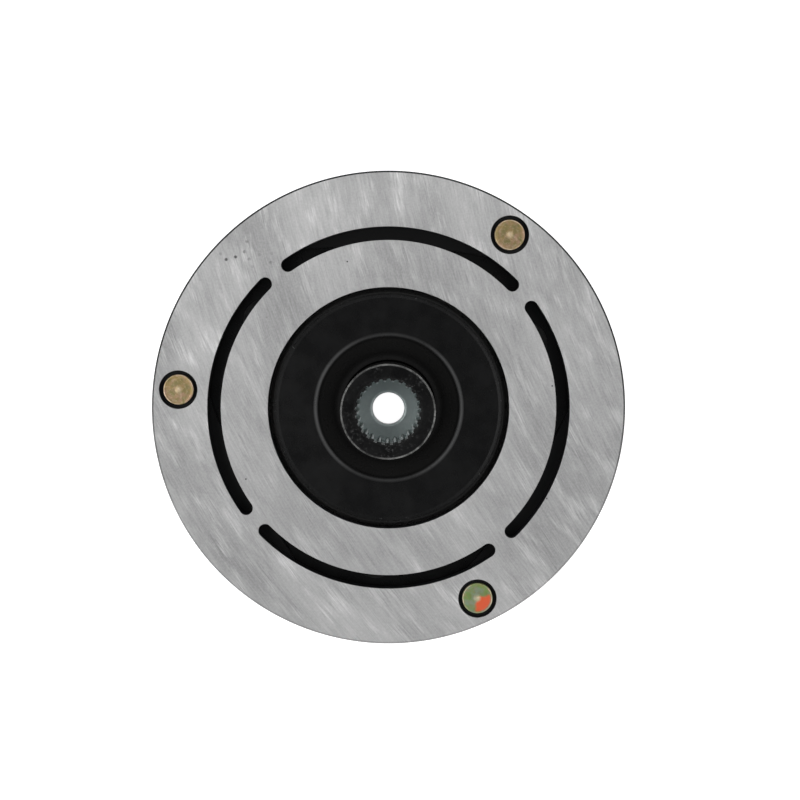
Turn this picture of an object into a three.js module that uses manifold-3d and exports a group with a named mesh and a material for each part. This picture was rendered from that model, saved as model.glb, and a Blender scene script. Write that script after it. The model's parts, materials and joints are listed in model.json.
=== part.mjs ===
// Armature and hub assembly (drive plate) of an electromagnetic clutch for a vehicle air-conditioning compressor.
// A splined hub boss carries a pressed hub plate. Three packs of leaf springs, riveted to the plate's lobes, hold the
// steel armature, whose ground face is pulled against the pulley's rotor when the coil is energised. Three rubber
// stops in the hub plate carry the armature while the coil is off.
//
// Millimetres. +Z runs along the shaft axis, from the front of the clutch towards the compressor, so the friction face
// looks up. The origin is the centre of the boss's front face, which is the plane that the assembly rests on.

import * as THREE from "three";
import { mergeVertices } from "three/addons/utils/BufferGeometryUtils.js";
import Module from "manifold-3d";

const wasm = await Module();
wasm.setup();

// ---- driving dimensions ----

const ARMATURE_R = 56;
const ARMATURE_THICK = 5;
const OPENING_R = 28.5;
const FRICTION_Z = 13;
const RIM_CHAMFER = 0.45;

const SLOT_COUNT = 4;
const SLOT_INNER_R = 39.7;
const SLOT_OUTER_R = 42.8;
const SLOT_BRIDGE = 3.9; // between the rounded ends of neighbouring slots, along the slots' middle circle

const SETS = 3; // leaf packs, with their rivets and stops
const ARMATURE_RIVET_R = 49.9; // radius of the armature rivets' circle
const HUB_RIVET_R = 48; // radius of the hub rivets' circle
const FIRST_RIVET_ANGLE = 180; // degrees from +X to the first armature rivet
const LEAF_REACH = 60; // degrees from an armature rivet to the hub rivet at its leaf's other end

const SHANK_R = 2.5;
const SHANK_HOLE_R = 2.65;
const HEAD_R = 3.62;
const HEAD_DROP = 0.45; // how far an armature rivet's head lies below the friction face
const COUNTERBORE_R = 4.5;
const COUNTERBORE_DEPTH = 2.4;

const PLATE_THICK = 2.6;
const PLATE_Z = 2.6; // underside of the hub plate's flange
const PLATE_BASE_R = 44.2;
const PLATE_LOBE_R = 6.6;
const PLATE_HOLE_R = 11.2;

// The ring-shaped crown pressed into the hub plate: a dished middle, a nearly flat top and a sloping shoulder.
const CROWN_Z = 10; // its highest line, round the outer edge of its top
const CROWN_FALL = 0.17; // how far its top falls towards the inner edge
const CROWN_INNER_R = 17;
const CROWN_OUTER_R = 26.9;
const CROWN_ROUND = 0.45; // width of the rounding between its top and its shoulder
const DISH_R = 12.6; // where the dish's side meets the sunk middle
const SHOULDER_R = 28.5;
const SHOULDER_Z = 7.4;
const FOOT_R = 29.1; // where the shoulder meets the flange

const LEAF_THICK = 0.5;
const LEAF_END_R = 5.6;
const LEAF_WAIST = 4.4; // half of a leaf's width at its middle
const SPACER_R = 4.6;
const WASHER_R = 4.3;
const WASHER_THICK = 1;

const STOP_R = 36; // radius of the rubber stops' circle
const STOP_HOLE_R = 4.2;

const BOSS_R = 10.9;
const BOSS_TOP_Z = 34;
const BOSS_FLANGE_R = 15.4;
const WEB_FRONT_Z = 10; // the bolt head's seat
const WEB_REAR_Z = 15; // the shaft end's seat
const BOLT_HOLE_R = 3.75;
const BOLT_RECESS_R = 7.6;
const SPLINE_TEETH = 25;
const SPLINE_TIP_R = 6.8;
const SPLINE_ROOT_R = 7.55;

const TOUCH = 0.03; // gap between faces that bear on each other

// Sides of the round shapes, by size.
const PLATE_SIDES = 96;
const HUB_SIDES = 60;
const PIN_SIDES = 20;

// ---- levels that follow from them ----

const ARMATURE_Z = FRICTION_Z - ARMATURE_THICK;
const PLATE_TOP_Z = PLATE_Z + PLATE_THICK;
const LOWER_LEAF_Z = PLATE_TOP_Z + TOUCH;
const UPPER_LEAF_Z = LOWER_LEAF_Z + LEAF_THICK + TOUCH;
const PACK_TOP_Z = UPPER_LEAF_Z + LEAF_THICK;
const COUNTERBORE_Z = FRICTION_Z - COUNTERBORE_DEPTH;

const steel = { metalness: 1, roughness: 0.32 };
const FINISH = {
  groundSteel: new THREE.MeshStandardMaterial({ color: 0xb4b4b4, ...steel }),
  springSteel: new THREE.MeshStandardMaterial({ color: 0x3d4046, ...steel }),
  yellowZinc: new THREE.MeshStandardMaterial({ color: 0xb39a68, metalness: 0.9, roughness: 0.4 }),
  blackCoat: new THREE.MeshStandardMaterial({ color: 0x17181a, metalness: 0, roughness: 0.45 }),
  rubber: new THREE.MeshStandardMaterial({ color: 0x101010, metalness: 0, roughness: 0.85 }),
};

// ---- shape helpers ----

const radians = THREE.MathUtils.degToRad;
const polar = (radius, degrees) =>
  new THREE.Vector2(radius * Math.cos(radians(degrees)), radius * Math.sin(radians(degrees)));

function solidOf(geometry) {
  const bare = new THREE.BufferGeometry().setAttribute("position", geometry.getAttribute("position"));
  if (geometry.index) bare.setIndex(geometry.index);
  const merged = mergeVertices(bare, 1e-4);
  return new wasm.Manifold(
    new wasm.Mesh({
      numProp: 3,
      vertProperties: new Float32Array(merged.attributes.position.array),
      triVerts: new Uint32Array(merged.index.array),
    }),
  );
}

function geometryOf(solid) {
  const mesh = solid.getMesh();
  const geometry = new THREE.BufferGeometry();
  geometry.setAttribute("position", new THREE.BufferAttribute(mesh.vertProperties, 3));
  geometry.setIndex(new THREE.BufferAttribute(mesh.triVerts, 1));
  geometry.computeVertexNormals();
  return geometry;
}

// A closed outline of [x, y] or [x, y, radius] corners as points, with an arc at each corner that has a radius.
function rounded(corners, steps) {
  const points = [];
  corners.forEach(([x, y, radius], i) => {
    const corner = new THREE.Vector2(x, y);
    if (!radius) {
      points.push(corner);
      return;
    }
    const [px, py] = corners[(i + corners.length - 1) % corners.length];
    const [nx, ny] = corners[(i + 1) % corners.length];
    const back = new THREE.Vector2(px, py).sub(corner).normalize();
    const ahead = new THREE.Vector2(nx, ny).sub(corner).normalize();
    const half = Math.acos(THREE.MathUtils.clamp(back.dot(ahead), -1, 1)) / 2;
    const middle = back.clone().add(ahead).normalize();
    const centre = corner.clone().addScaledVector(middle, radius / Math.sin(half));
    const first = corner.clone().addScaledVector(back, radius / Math.tan(half)).sub(centre);
    const turn = (Math.PI - 2 * half) * Math.sign(first.cross(middle.clone().negate()));
    for (let k = 0; k <= steps; k++) {
      points.push(first.clone().rotateAround(new THREE.Vector2(), (turn * k) / steps).add(centre));
    }
  });
  return points;
}

// A solid of revolution about +Z, from a closed outline of [radius, z] corners listed counterclockwise.
function turned(corners, sides, steps = 1) {
  const outline = rounded(corners, steps);
  outline.push(outline[0].clone());
  return new THREE.LatheGeometry(outline, sides).rotateX(Math.PI / 2);
}

// A flat shape from one level up to another.
function slab(shape, fromZ, toZ, curveSegments = 8) {
  const options = { depth: toZ - fromZ, bevelEnabled: false, curveSegments };
  return new THREE.ExtrudeGeometry(shape, options).translate(0, 0, fromZ);
}

// A round cutter or pin at a place on a circle, between two levels.
function post(radius, circle, degrees, fromZ, toZ) {
  const at = polar(circle, degrees);
  return new THREE.CylinderGeometry(radius, radius, toZ - fromZ, PIN_SIDES)
    .rotateX(Math.PI / 2)
    .translate(at.x, at.y, (fromZ + toZ) / 2);
}

// A ring such as a spacer or washer, standing at the origin of its own mesh.
function ring(innerR, outerR, fromZ, toZ) {
  const chamfer = 0.12;
  const corners = [
    [innerR, fromZ],
    [outerR, fromZ, chamfer],
    [outerR, toZ, chamfer],
    [innerR, toZ],
  ];
  return turned(corners, PIN_SIDES);
}

const cut = (geometry, cutters) =>
  geometryOf(cutters.reduce((solid, cutter) => solid.subtract(solidOf(cutter)), solidOf(geometry)));

// ---- angles of the three sets ----

const SET_ANGLES = Array.from({ length: SETS }, (_, i) => FIRST_RIVET_ANGLE - (i * 360) / SETS);
const hubRivetAngle = (setAngle) => setAngle + LEAF_REACH;
const stopAngle = (setAngle) => setAngle - (360 / SETS - LEAF_REACH) / 2;

// ---- armature ----

function arcSlot(middleAngle) {
  const middleR = (SLOT_INNER_R + SLOT_OUTER_R) / 2;
  const endR = (SLOT_OUTER_R - SLOT_INNER_R) / 2;
  const bridgeAngle = (SLOT_BRIDGE + 2 * endR) / middleR;
  const half = Math.PI / SLOT_COUNT - bridgeAngle / 2;
  const middle = radians(middleAngle);
  const shape = new THREE.Shape();
  const endCentre = (angle) => [middleR * Math.cos(angle), middleR * Math.sin(angle)];
  shape.absarc(0, 0, SLOT_OUTER_R, middle - half, middle + half, false);
  shape.absarc(...endCentre(middle + half), endR, middle + half, middle + half + Math.PI, false);
  shape.absarc(0, 0, SLOT_INNER_R, middle + half, middle - half, true);
  shape.absarc(...endCentre(middle - half), endR, middle - half + Math.PI, middle - half + 2 * Math.PI, false);
  return shape;
}

function armaturePlate() {
  const disc = turned(
    [
      [OPENING_R, ARMATURE_Z],
      [ARMATURE_R, ARMATURE_Z, RIM_CHAMFER],
      [ARMATURE_R, FRICTION_Z, RIM_CHAMFER],
      [OPENING_R, FRICTION_Z],
    ],
    PLATE_SIDES,
  );
  const slots = Array.from({ length: SLOT_COUNT }, (_, i) =>
    slab(arcSlot((i * 360) / SLOT_COUNT), ARMATURE_Z - 1, FRICTION_Z + 1, 7),
  );
  const holes = SET_ANGLES.flatMap((angle) => [
    post(SHANK_HOLE_R, ARMATURE_RIVET_R, angle, ARMATURE_Z - 1, FRICTION_Z + 1),
    post(COUNTERBORE_R, ARMATURE_RIVET_R, angle, COUNTERBORE_Z, FRICTION_Z + 1),
  ]);
  return cut(disc, [...slots, ...holes]);
}

// ---- hub ----

// A disc with a rounded lobe towards each hub rivet, joined to it by straight tangents.
function plateOutline() {
  const tangent = THREE.MathUtils.radToDeg(Math.acos((PLATE_BASE_R - PLATE_LOBE_R) / HUB_RIVET_R));
  const shape = new THREE.Shape();
  [...SET_ANGLES].reverse().forEach((setAngle) => {
    const lobe = hubRivetAngle(setAngle);
    const centre = polar(HUB_RIVET_R, lobe);
    const from = radians(lobe - tangent);
    const to = radians(lobe + tangent);
    shape.absarc(centre.x, centre.y, PLATE_LOBE_R, from, to, false);
    shape.absarc(0, 0, PLATE_BASE_R, to, from + (2 * Math.PI) / SETS, false);
  });
  return shape;
}

function hubPlate() {
  const beyond = ARMATURE_R + 4;
  const crownUnderZ = CROWN_Z - PLATE_THICK;
  const dishWall = 1.4; // thickness of the dish's side, measured along the radius
  const shoulderWall = 2.5;
  const blank = turned(
    [
      [PLATE_HOLE_R, PLATE_Z],
      [DISH_R + dishWall, PLATE_Z, 0.9],
      [CROWN_INNER_R + dishWall, crownUnderZ, 0.9],
      [SHOULDER_R - shoulderWall, crownUnderZ, 0.9],
      [FOOT_R - shoulderWall, PLATE_Z, 0.9],
      [beyond, PLATE_Z],
      [beyond, PLATE_TOP_Z],
      [FOOT_R, PLATE_TOP_Z, 0.8],
      [SHOULDER_R, SHOULDER_Z],
      [CROWN_OUTER_R + CROWN_ROUND, CROWN_Z - CROWN_ROUND / 3],
      [CROWN_OUTER_R, CROWN_Z],
      [CROWN_INNER_R, CROWN_Z - CROWN_FALL],
      [DISH_R, PLATE_TOP_Z, 1.2],
      [PLATE_HOLE_R, PLATE_TOP_Z],
    ],
    HUB_SIDES,
  );
  const outline = slab(plateOutline(), PLATE_Z - 1, CROWN_Z + 1);
  const holes = SET_ANGLES.flatMap((angle) => [
    post(SHANK_HOLE_R, HUB_RIVET_R, hubRivetAngle(angle), PLATE_Z - 1, PLATE_TOP_Z + 1),
    post(STOP_HOLE_R, STOP_R, stopAngle(angle), PLATE_Z - 1, PLATE_TOP_Z + 1),
  ]);
  return cut(geometryOf(solidOf(blank).intersect(solidOf(outline))), holes);
}

// The socket's toothed section: straight-sided teeth. The shares are parts of the pitch.
function splineSection() {
  const pitch = 360 / SPLINE_TEETH;
  const tipShare = 0.25;
  const rootShare = 0.3;
  const points = [];
  for (let tooth = 0; tooth < SPLINE_TEETH; tooth++) {
    const corners = [
      [SPLINE_TIP_R, -tipShare / 2],
      [SPLINE_TIP_R, tipShare / 2],
      [SPLINE_ROOT_R, (1 - rootShare) / 2],
      [SPLINE_ROOT_R, (1 + rootShare) / 2],
    ];
    corners.forEach(([radius, share]) => points.push(polar(radius, (tooth + share) * pitch)));
  }
  return new THREE.Shape(points);
}

function hubBoss() {
  const bossChamfer = 0.4;
  const holeChamfer = 0.6;
  const above = 0.1; // how far a cutter runs past the face that it cuts
  const blank = turned(
    [
      [BOLT_HOLE_R, WEB_FRONT_Z, 0.5],
      [BOLT_RECESS_R, WEB_FRONT_Z],
      [BOLT_RECESS_R, 0, 0.6],
      [BOSS_FLANGE_R, 0, 0.5],
      [BOSS_FLANGE_R, PLATE_Z - TOUCH],
      [BOSS_R, PLATE_Z - TOUCH],
      [BOSS_R, BOSS_TOP_Z, bossChamfer],
      [BOLT_HOLE_R, BOSS_TOP_Z],
    ],
    HUB_SIDES,
  );
  const socket = slab(splineSection(), WEB_REAR_Z, BOSS_TOP_Z + 1);
  const mouthR = SPLINE_ROOT_R + 0.25;
  const mouthDepth = 0.8;
  const mouth = turned(
    [
      [0, BOSS_TOP_Z - mouthDepth],
      [SPLINE_TIP_R, BOSS_TOP_Z - mouthDepth],
      [mouthR, BOSS_TOP_Z],
      [mouthR, BOSS_TOP_Z + 1],
      [0, BOSS_TOP_Z + 1],
    ],
    2 * SPLINE_TEETH,
  );
  const holeEdge = turned(
    [
      [0, WEB_REAR_Z - holeChamfer],
      [BOLT_HOLE_R, WEB_REAR_Z - holeChamfer],
      [BOLT_HOLE_R + holeChamfer + above, WEB_REAR_Z + above],
      [0, WEB_REAR_Z + above],
    ],
    HUB_SIDES,
  );
  return cut(blank, [socket, mouth, holeEdge]);
}

// ---- leaf springs: the armature end is at the mesh's own origin, the hub end along its +X ----

const armatureEnd = polar(ARMATURE_RIVET_R, 0);
const hubEnd = polar(HUB_RIVET_R, LEAF_REACH);
const LEAF_LENGTH = armatureEnd.distanceTo(hubEnd);
const LEAF_TURN = hubEnd.clone().sub(armatureEnd).angle();

function leaf() {
  const lean = Math.PI / 3;
  const shape = new THREE.Shape();
  const middle = LEAF_LENGTH / 2;
  const shoulderX = LEAF_END_R * Math.cos(lean);
  const shoulderY = LEAF_END_R * Math.sin(lean);
  const reach = middle * 0.45;
  shape.absarc(0, 0, LEAF_END_R, lean, 2 * Math.PI - lean, false);
  shape.bezierCurveTo(reach, -LEAF_WAIST, reach, -LEAF_WAIST, middle, -LEAF_WAIST);
  shape.bezierCurveTo(
    LEAF_LENGTH - reach, -LEAF_WAIST, LEAF_LENGTH - reach, -LEAF_WAIST,
    LEAF_LENGTH - shoulderX, -shoulderY,
  );
  shape.absarc(LEAF_LENGTH, 0, LEAF_END_R, Math.PI + lean, 3 * Math.PI - lean, false);
  shape.bezierCurveTo(LEAF_LENGTH - reach, LEAF_WAIST, LEAF_LENGTH - reach, LEAF_WAIST, middle, LEAF_WAIST);
  shape.bezierCurveTo(reach, LEAF_WAIST, reach, LEAF_WAIST, shoulderX, shoulderY);
  const hole = (x) => new THREE.Path().absarc(x, 0, SHANK_HOLE_R, 0, 2 * Math.PI, true);
  shape.holes.push(hole(0), hole(LEAF_LENGTH));
  return slab(shape, 0, LEAF_THICK, 5);
}

// ---- rivets and rubber stops, each on the axis of its own mesh ----

function armatureRivet() {
  const washerZ = LOWER_LEAF_Z - TOUCH - WASHER_THICK;
  const tailZ = washerZ - TOUCH;
  const tailR = 3.9;
  const tailHeight = 2;
  return turned(
    [
      [0, tailZ - tailHeight],
      [2.4, tailZ - tailHeight, 0.8],
      [tailR, tailZ - 0.9, 0.5],
      [tailR, tailZ],
      [SHANK_R, tailZ],
      [SHANK_R, COUNTERBORE_Z + TOUCH],
      [HEAD_R, COUNTERBORE_Z + TOUCH],
      [HEAD_R, FRICTION_Z - HEAD_DROP, 0.3],
      [0, FRICTION_Z - HEAD_DROP],
    ],
    PIN_SIDES,
  );
}

function hubRivet() {
  const headR = 4.1;
  const headZ = PLATE_Z - TOUCH;
  const headHeight = 1.8;
  const tailR = headR - 0.2;
  const tailHeight = 1.25;
  return turned(
    [
      [0, headZ - headHeight],
      [2.9, headZ - headHeight, 0.8],
      [headR, headZ - 0.8, 0.4],
      [headR, headZ],
      [SHANK_R, headZ],
      [SHANK_R, PACK_TOP_Z + TOUCH],
      [tailR, PACK_TOP_Z + TOUCH],
      [tailR, PACK_TOP_Z + tailHeight, 0.4],
      [0, PACK_TOP_Z + tailHeight],
    ],
    PIN_SIDES,
  );
}

function rubberStop() {
  const neckR = STOP_HOLE_R - 0.3;
  const undersideZ = PLATE_Z - 1.7;
  return turned(
    [
      [0, undersideZ],
      [4.4, undersideZ, 1],
      [5.2, PLATE_Z - TOUCH, 0.25],
      [neckR, PLATE_Z - TOUCH],
      [neckR, PLATE_TOP_Z + TOUCH],
      [5.4, PLATE_TOP_Z + TOUCH, 0.25],
      [5.2, PLATE_TOP_Z + 1.2, 0.6],
      [3.4, ARMATURE_Z - TOUCH, 0.6],
      [0, ARMATURE_Z - TOUCH],
    ],
    PIN_SIDES,
  );
}

// ---- assembly ----

const assembly = new THREE.Group();
const hub = new THREE.Group();
const armature = new THREE.Group();
assembly.add(hub, armature);

function place(group, name, geometry, material, circle = 0, degrees = 0, z = 0, turn = 0) {
  const mesh = new THREE.Mesh(geometry, material);
  mesh.name = name;
  const at = polar(circle, degrees);
  mesh.position.set(at.x, at.y, z);
  mesh.rotation.z = turn;
  group.add(mesh);
}

place(hub, "hub_boss", hubBoss(), FINISH.blackCoat);
place(hub, "hub_plate", hubPlate(), FINISH.blackCoat);
place(armature, "armature_plate", armaturePlate(), FINISH.groundSteel);

const spacer = ring(SHANK_HOLE_R, SPACER_R, PACK_TOP_Z + TOUCH, ARMATURE_Z - TOUCH);
const washer = ring(SHANK_HOLE_R, WASHER_R, LOWER_LEAF_Z - TOUCH - WASHER_THICK, LOWER_LEAF_Z - TOUCH);
SET_ANGLES.forEach((angle, i) => {
  const number = i + 1;
  const turn = radians(angle);
  const onArmature = [ARMATURE_RIVET_R, angle, 0, turn];
  const hubAngle = hubRivetAngle(angle);
  place(armature, `armature_rivet_${number}`, armatureRivet(), FINISH.yellowZinc, ...onArmature);
  place(armature, `armature_spacer_${number}`, spacer, FINISH.yellowZinc, ...onArmature);
  place(armature, `armature_washer_${number}`, washer, FINISH.yellowZinc, ...onArmature);
  const leafTurn = turn + LEAF_TURN;
  const { springSteel, yellowZinc, rubber } = FINISH;
  place(hub, `leaf_spring_lower_${number}`, leaf(), springSteel, ARMATURE_RIVET_R, angle, LOWER_LEAF_Z, leafTurn);
  place(hub, `leaf_spring_upper_${number}`, leaf(), springSteel, ARMATURE_RIVET_R, angle, UPPER_LEAF_Z, leafTurn);
  place(hub, `hub_rivet_${number}`, hubRivet(), yellowZinc, HUB_RIVET_R, hubAngle, 0, radians(hubAngle));
  place(hub, `rubber_stop_${number}`, rubberStop(), rubber, STOP_R, stopAngle(angle));
});

export default assembly;
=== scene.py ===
"""The looks of an electromagnetic clutch's armature and hub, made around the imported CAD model.

Every piece is rebuilt as a fine mesh in the space of the CAD node that it stands for, and gets a procedural
material. Sizes are in millimetres here and in metres in Blender, in the frame of the CAD model: +Z runs along
the shaft axis, out of the armature's ground friction face.
"""

import json
import math

import bmesh
import bpy
from mathutils import Matrix, Vector

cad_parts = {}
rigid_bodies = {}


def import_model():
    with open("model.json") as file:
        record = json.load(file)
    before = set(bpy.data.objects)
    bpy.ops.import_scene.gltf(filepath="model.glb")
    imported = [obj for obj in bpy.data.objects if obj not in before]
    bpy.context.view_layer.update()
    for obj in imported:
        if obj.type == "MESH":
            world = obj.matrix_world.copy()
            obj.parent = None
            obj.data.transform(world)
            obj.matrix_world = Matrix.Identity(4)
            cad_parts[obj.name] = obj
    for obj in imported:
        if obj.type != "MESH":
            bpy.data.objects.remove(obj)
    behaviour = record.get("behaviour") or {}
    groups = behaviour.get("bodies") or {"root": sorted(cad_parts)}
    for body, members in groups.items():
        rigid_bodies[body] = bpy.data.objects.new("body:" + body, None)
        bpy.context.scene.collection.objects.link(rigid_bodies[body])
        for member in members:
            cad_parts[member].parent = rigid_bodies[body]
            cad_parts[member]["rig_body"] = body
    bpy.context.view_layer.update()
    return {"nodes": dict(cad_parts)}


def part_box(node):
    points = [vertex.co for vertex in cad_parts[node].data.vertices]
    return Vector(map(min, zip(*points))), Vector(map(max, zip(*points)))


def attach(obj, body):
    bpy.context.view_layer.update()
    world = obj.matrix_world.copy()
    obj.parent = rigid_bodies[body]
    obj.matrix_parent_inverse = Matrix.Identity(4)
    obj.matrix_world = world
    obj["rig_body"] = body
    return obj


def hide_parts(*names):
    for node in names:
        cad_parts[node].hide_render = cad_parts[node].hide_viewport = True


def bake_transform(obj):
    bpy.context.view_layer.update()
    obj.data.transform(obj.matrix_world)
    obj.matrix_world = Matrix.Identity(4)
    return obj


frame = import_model()

MM = 0.001


def corners_of(node):
    """A CAD node's lowest and highest corners, in millimetres."""
    low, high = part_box(node)
    return low / MM, high / MM


def centre_of(node):
    """The middle of a CAD node seen from above, in millimetres."""
    low, high = corners_of(node)
    return (low.x + high.x) / 2, (low.y + high.y) / 2


# ---- sizes: overall ones are the CAD nodes' own ----

SETS = (1, 2, 3)  # the three sets of rivets, leaf springs, spacers, washers and stops
TOUCH = 0.03  # gap between faces that bear on each other
CAP_RIM = 0.5  # how far a flat face's filled middle stays inside its edges

armature_low, armature_high = corners_of("armature_plate")
ARMATURE_R = armature_high.x
ARMATURE_Z = armature_low.z
FRICTION_Z = armature_high.z
OPENING_R = 28.5
RIM_CHAMFER = 0.45
SLOT_ANGLES = (0, 90, 180, 270)
SLOT_INNER_R = 39.7
SLOT_OUTER_R = 42.8
SLOT_BRIDGE = 3.9
COUNTERBORE_R = 4.5
COUNTERBORE_Z = FRICTION_Z - 2.4
SHANK_HOLE_R = 2.65
SHANK_R = 2.5
RIVET_HEAD_R = 3.62
RIVET_TAIL_HEIGHT = 2
HUB_RIVET_TAIL_HEIGHT = 1.22

plate_low, plate_high = corners_of("hub_plate")
PLATE_Z = plate_low.z
CROWN_Z = plate_high.z
PLATE_THICK = 2.6
PLATE_TOP_Z = PLATE_Z + PLATE_THICK
PLATE_BASE_R = 44.2
PLATE_LOBE_R = 6.6
PLATE_HOLE_R = 11.2
CROWN_FALL = 0.17
CROWN_INNER_R = 17
CROWN_OUTER_R = 26.9
CROWN_ROUND = 0.45
DISH_R = 12.6
SHOULDER_R = 28.5
SHOULDER_Z = 7.4
FOOT_R = 29.1
STOP_HOLE_R = 4.2

_, boss_high = corners_of("hub_boss")
BOSS_FLANGE_R = boss_high.x
BOSS_TOP_Z = boss_high.z
BOSS_R = 10.9
BOSS_EDGE_ROUND = 0.42
WEB_FRONT_Z = 10
WEB_REAR_Z = 15
BOLT_HOLE_R = 3.75
BOLT_RECESS_R = 7.6
MOUTH_R = 7.8
MOUTH_DEPTH = 0.8
SPLINE_TEETH = 25
SPLINE_TIP_R = 6.8
SPLINE_ROOT_R = 7.55

LEAF_END_R = 5.6
LEAF_WAIST = 4.4  # half the width of a leaf's middle
LEAF_FLARE = 0.28  # the share of a leaf's length over which each end narrows to the waist

# ---- the camera: above the friction face, a little off its axis, and turned ----

VIEW_DISTANCE = 533
VIEW_WIDTH = 189.1  # how much of the friction face's plane the picture spans
VIEW_ROLL = 5.0  # degrees from +X to the picture's right, counterclockwise
VIEW_CENTRE = (2.72, 1.9)  # where the view's centre meets the friction face, along the picture's right and up
VIEW_STAND = (2.9, 21.9)  # where the camera stands, along the same two directions
SENSOR_WIDTH = 36


def in_view(right, up):
    """A vector in the friction face's plane from its lengths along the picture's right and up."""
    turn = math.radians(VIEW_ROLL)
    along = Vector((math.cos(turn), math.sin(turn), 0))
    across = Vector((-math.sin(turn), math.cos(turn), 0))
    return along * right + across * up


def looking_back(along):
    """The rotation of a camera or light whose back points along a vector, and whose up is the picture's."""
    back = along.normalized()
    right = in_view(0, 1).cross(back).normalized()
    return Matrix((right, back.cross(right), back)).transposed().to_quaternion()


def make_camera():
    data = bpy.data.cameras.new("camera")
    camera = bpy.data.objects.new("camera", data)
    bpy.context.scene.collection.objects.link(camera)
    face = Vector((0, 0, FRICTION_Z))
    place = face + in_view(*VIEW_STAND) + Vector((0, 0, VIEW_DISTANCE))
    target = face + in_view(*VIEW_CENTRE)
    camera.location = place * MM
    camera.rotation_mode = "QUATERNION"
    camera.rotation_quaternion = looking_back(place - target)
    data.sensor_width = SENSOR_WIDTH
    data.lens = SENSOR_WIDTH * (place - target).length / VIEW_WIDTH
    data.clip_start = 0.01
    bpy.context.scene.camera = camera


# ---- outlines and profiles ----


def polar(radius, degrees):
    return radius * math.cos(math.radians(degrees)), radius * math.sin(math.radians(degrees))


def arc(centre, radius, start, end, steps):
    """Points along an arc between two angles in degrees, both ends included."""
    spokes = (polar(radius, start + (end - start) * i / steps) for i in range(steps + 1))
    return [(centre[0] + x, centre[1] + y) for x, y in spokes]


def circle(radius, count, centre=(0, 0)):
    return arc(centre, radius, 0, 360, count)[:-1]


def grown(outline, grow):
    """A closed counterclockwise outline moved outwards."""
    moved = []
    for i, (x, y) in enumerate(outline):
        before_x, before_y = outline[i - 1]
        after_x, after_y = outline[(i + 1) % len(outline)]
        along_x = after_x - before_x
        along_y = after_y - before_y
        length = math.hypot(along_x, along_y)
        moved.append((x + grow * along_y / length, y - grow * along_x / length))
    return moved


def filleted(corners, steps=5):
    """A profile's points. A corner is (across, z), or (across, z, radius) for one that is rounded."""
    points = []
    for i, (across, z, *radius) in enumerate(corners):
        corner = Vector((across, z))
        if not radius:
            points.append((across, z))
            continue
        back = (Vector(corners[i - 1][:2]) - corner).normalized()
        ahead = (Vector(corners[(i + 1) % len(corners)][:2]) - corner).normalized()
        half = math.acos(max(-1, min(1, back.dot(ahead)))) / 2
        middle = (back + ahead).normalized()
        centre = corner + middle * (radius[0] / math.sin(half))
        spoke = corner + back * (radius[0] / math.tan(half)) - centre
        turn = math.copysign(math.pi - 2 * half, middle.cross(spoke))
        for k in range(steps + 1):
            points.append(tuple(centre + Matrix.Rotation(turn * k / steps, 2) @ spoke))
    return points


def wall(outline, profile):
    """A wall's rings. A point of the profile is how far outside the outline the wall stands, and how high."""
    return [[(x, y, z) for x, y in grown(outline, grow)] for grow, z in profile]


def turned(profile, count=64, centre=(0, 0)):
    """The rings of a surface of revolution, from (radius, z). A radius of 0 closes it in a point."""
    rings = []
    for radius, z in profile:
        ring = circle(radius, count, centre) if radius else [centre]
        rings.append([(x, y, z) for x, y in ring])
    return rings


def plain_edge(top, bottom, rounding, inwards):
    """The profile of a flat plate's rounded edge. Inwards is -1 where the plate is inside the outline, and 1
    where it is outside."""
    rim = inwards * CAP_RIM
    return filleted([(rim, top), (0, top, rounding), (0, bottom, rounding), (rim, bottom)])


# ---- meshes ----


def bridge(mesh, low, high):
    """Faces between two rings, or between a ring and the point that closes it."""
    count = max(len(low), len(high))
    for i in range(count):
        j = (i + 1) % count
        corners = (low[i % len(low)], low[j % len(low)], high[j % len(high)], high[i % len(high)])
        mesh.faces.new(list(dict.fromkeys(corners)))


def cap(mesh, rings):
    """A flat face inside the first ring and outside the others. A ring of one point needs none."""
    edges = []
    for ring in rings:
        if len(ring) > 1:
            edges += [mesh.edges.get((ring[i - 1], ring[i])) for i in range(len(ring))]
    if edges:
        bmesh.ops.triangle_fill(mesh, edges=edges, use_beauty=True)


def mesh_of(name, walls, closed):
    """A closed mesh from walls of rings. Flat faces join the walls' first rings and their last rings, unless
    each wall is closed, so that its last ring meets its own first."""
    mesh = bmesh.new()
    made = [[[mesh.verts.new(Vector(p) * MM) for p in ring] for ring in rings] for rings in walls]
    for rings in made:
        for low, high in zip(rings, rings[1:]):
            bridge(mesh, low, high)
        if closed:
            bridge(mesh, rings[-1], rings[0])
    if not closed:
        cap(mesh, [rings[0] for rings in made])
        cap(mesh, [rings[-1] for rings in made])
    bmesh.ops.recalc_face_normals(mesh, faces=mesh.faces)
    for face in mesh.faces:
        face.smooth = True
    data = bpy.data.meshes.new(name)
    mesh.to_mesh(data)
    mesh.free()
    data.set_sharp_from_angle(angle=math.radians(35))
    return data


def stand_in(node, walls, material, closed=False, place=(0, 0), turn=0, bends=None):
    """The fine piece that stands for a CAD node, on the node's body and with its material slot. One given
    bend points is kept off the bodies instead, with its place baked into its mesh; the points themselves are
    not read."""
    data = mesh_of(f"{node}_fine", walls, closed)
    data.materials.append(material)
    piece = bpy.data.objects.new(data.name, data)
    bpy.context.scene.collection.objects.link(piece)
    piece.location = Vector((*place, 0)) * MM
    piece.rotation_euler.z = math.radians(turn)
    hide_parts(node)
    if bends:
        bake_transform(piece)
    else:
        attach(piece, frame["nodes"][node]["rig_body"])
    piece.modifiers.new("weighted_normals", "WEIGHTED_NORMAL").keep_sharp = True


# ---- node trees for the materials ----


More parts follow.
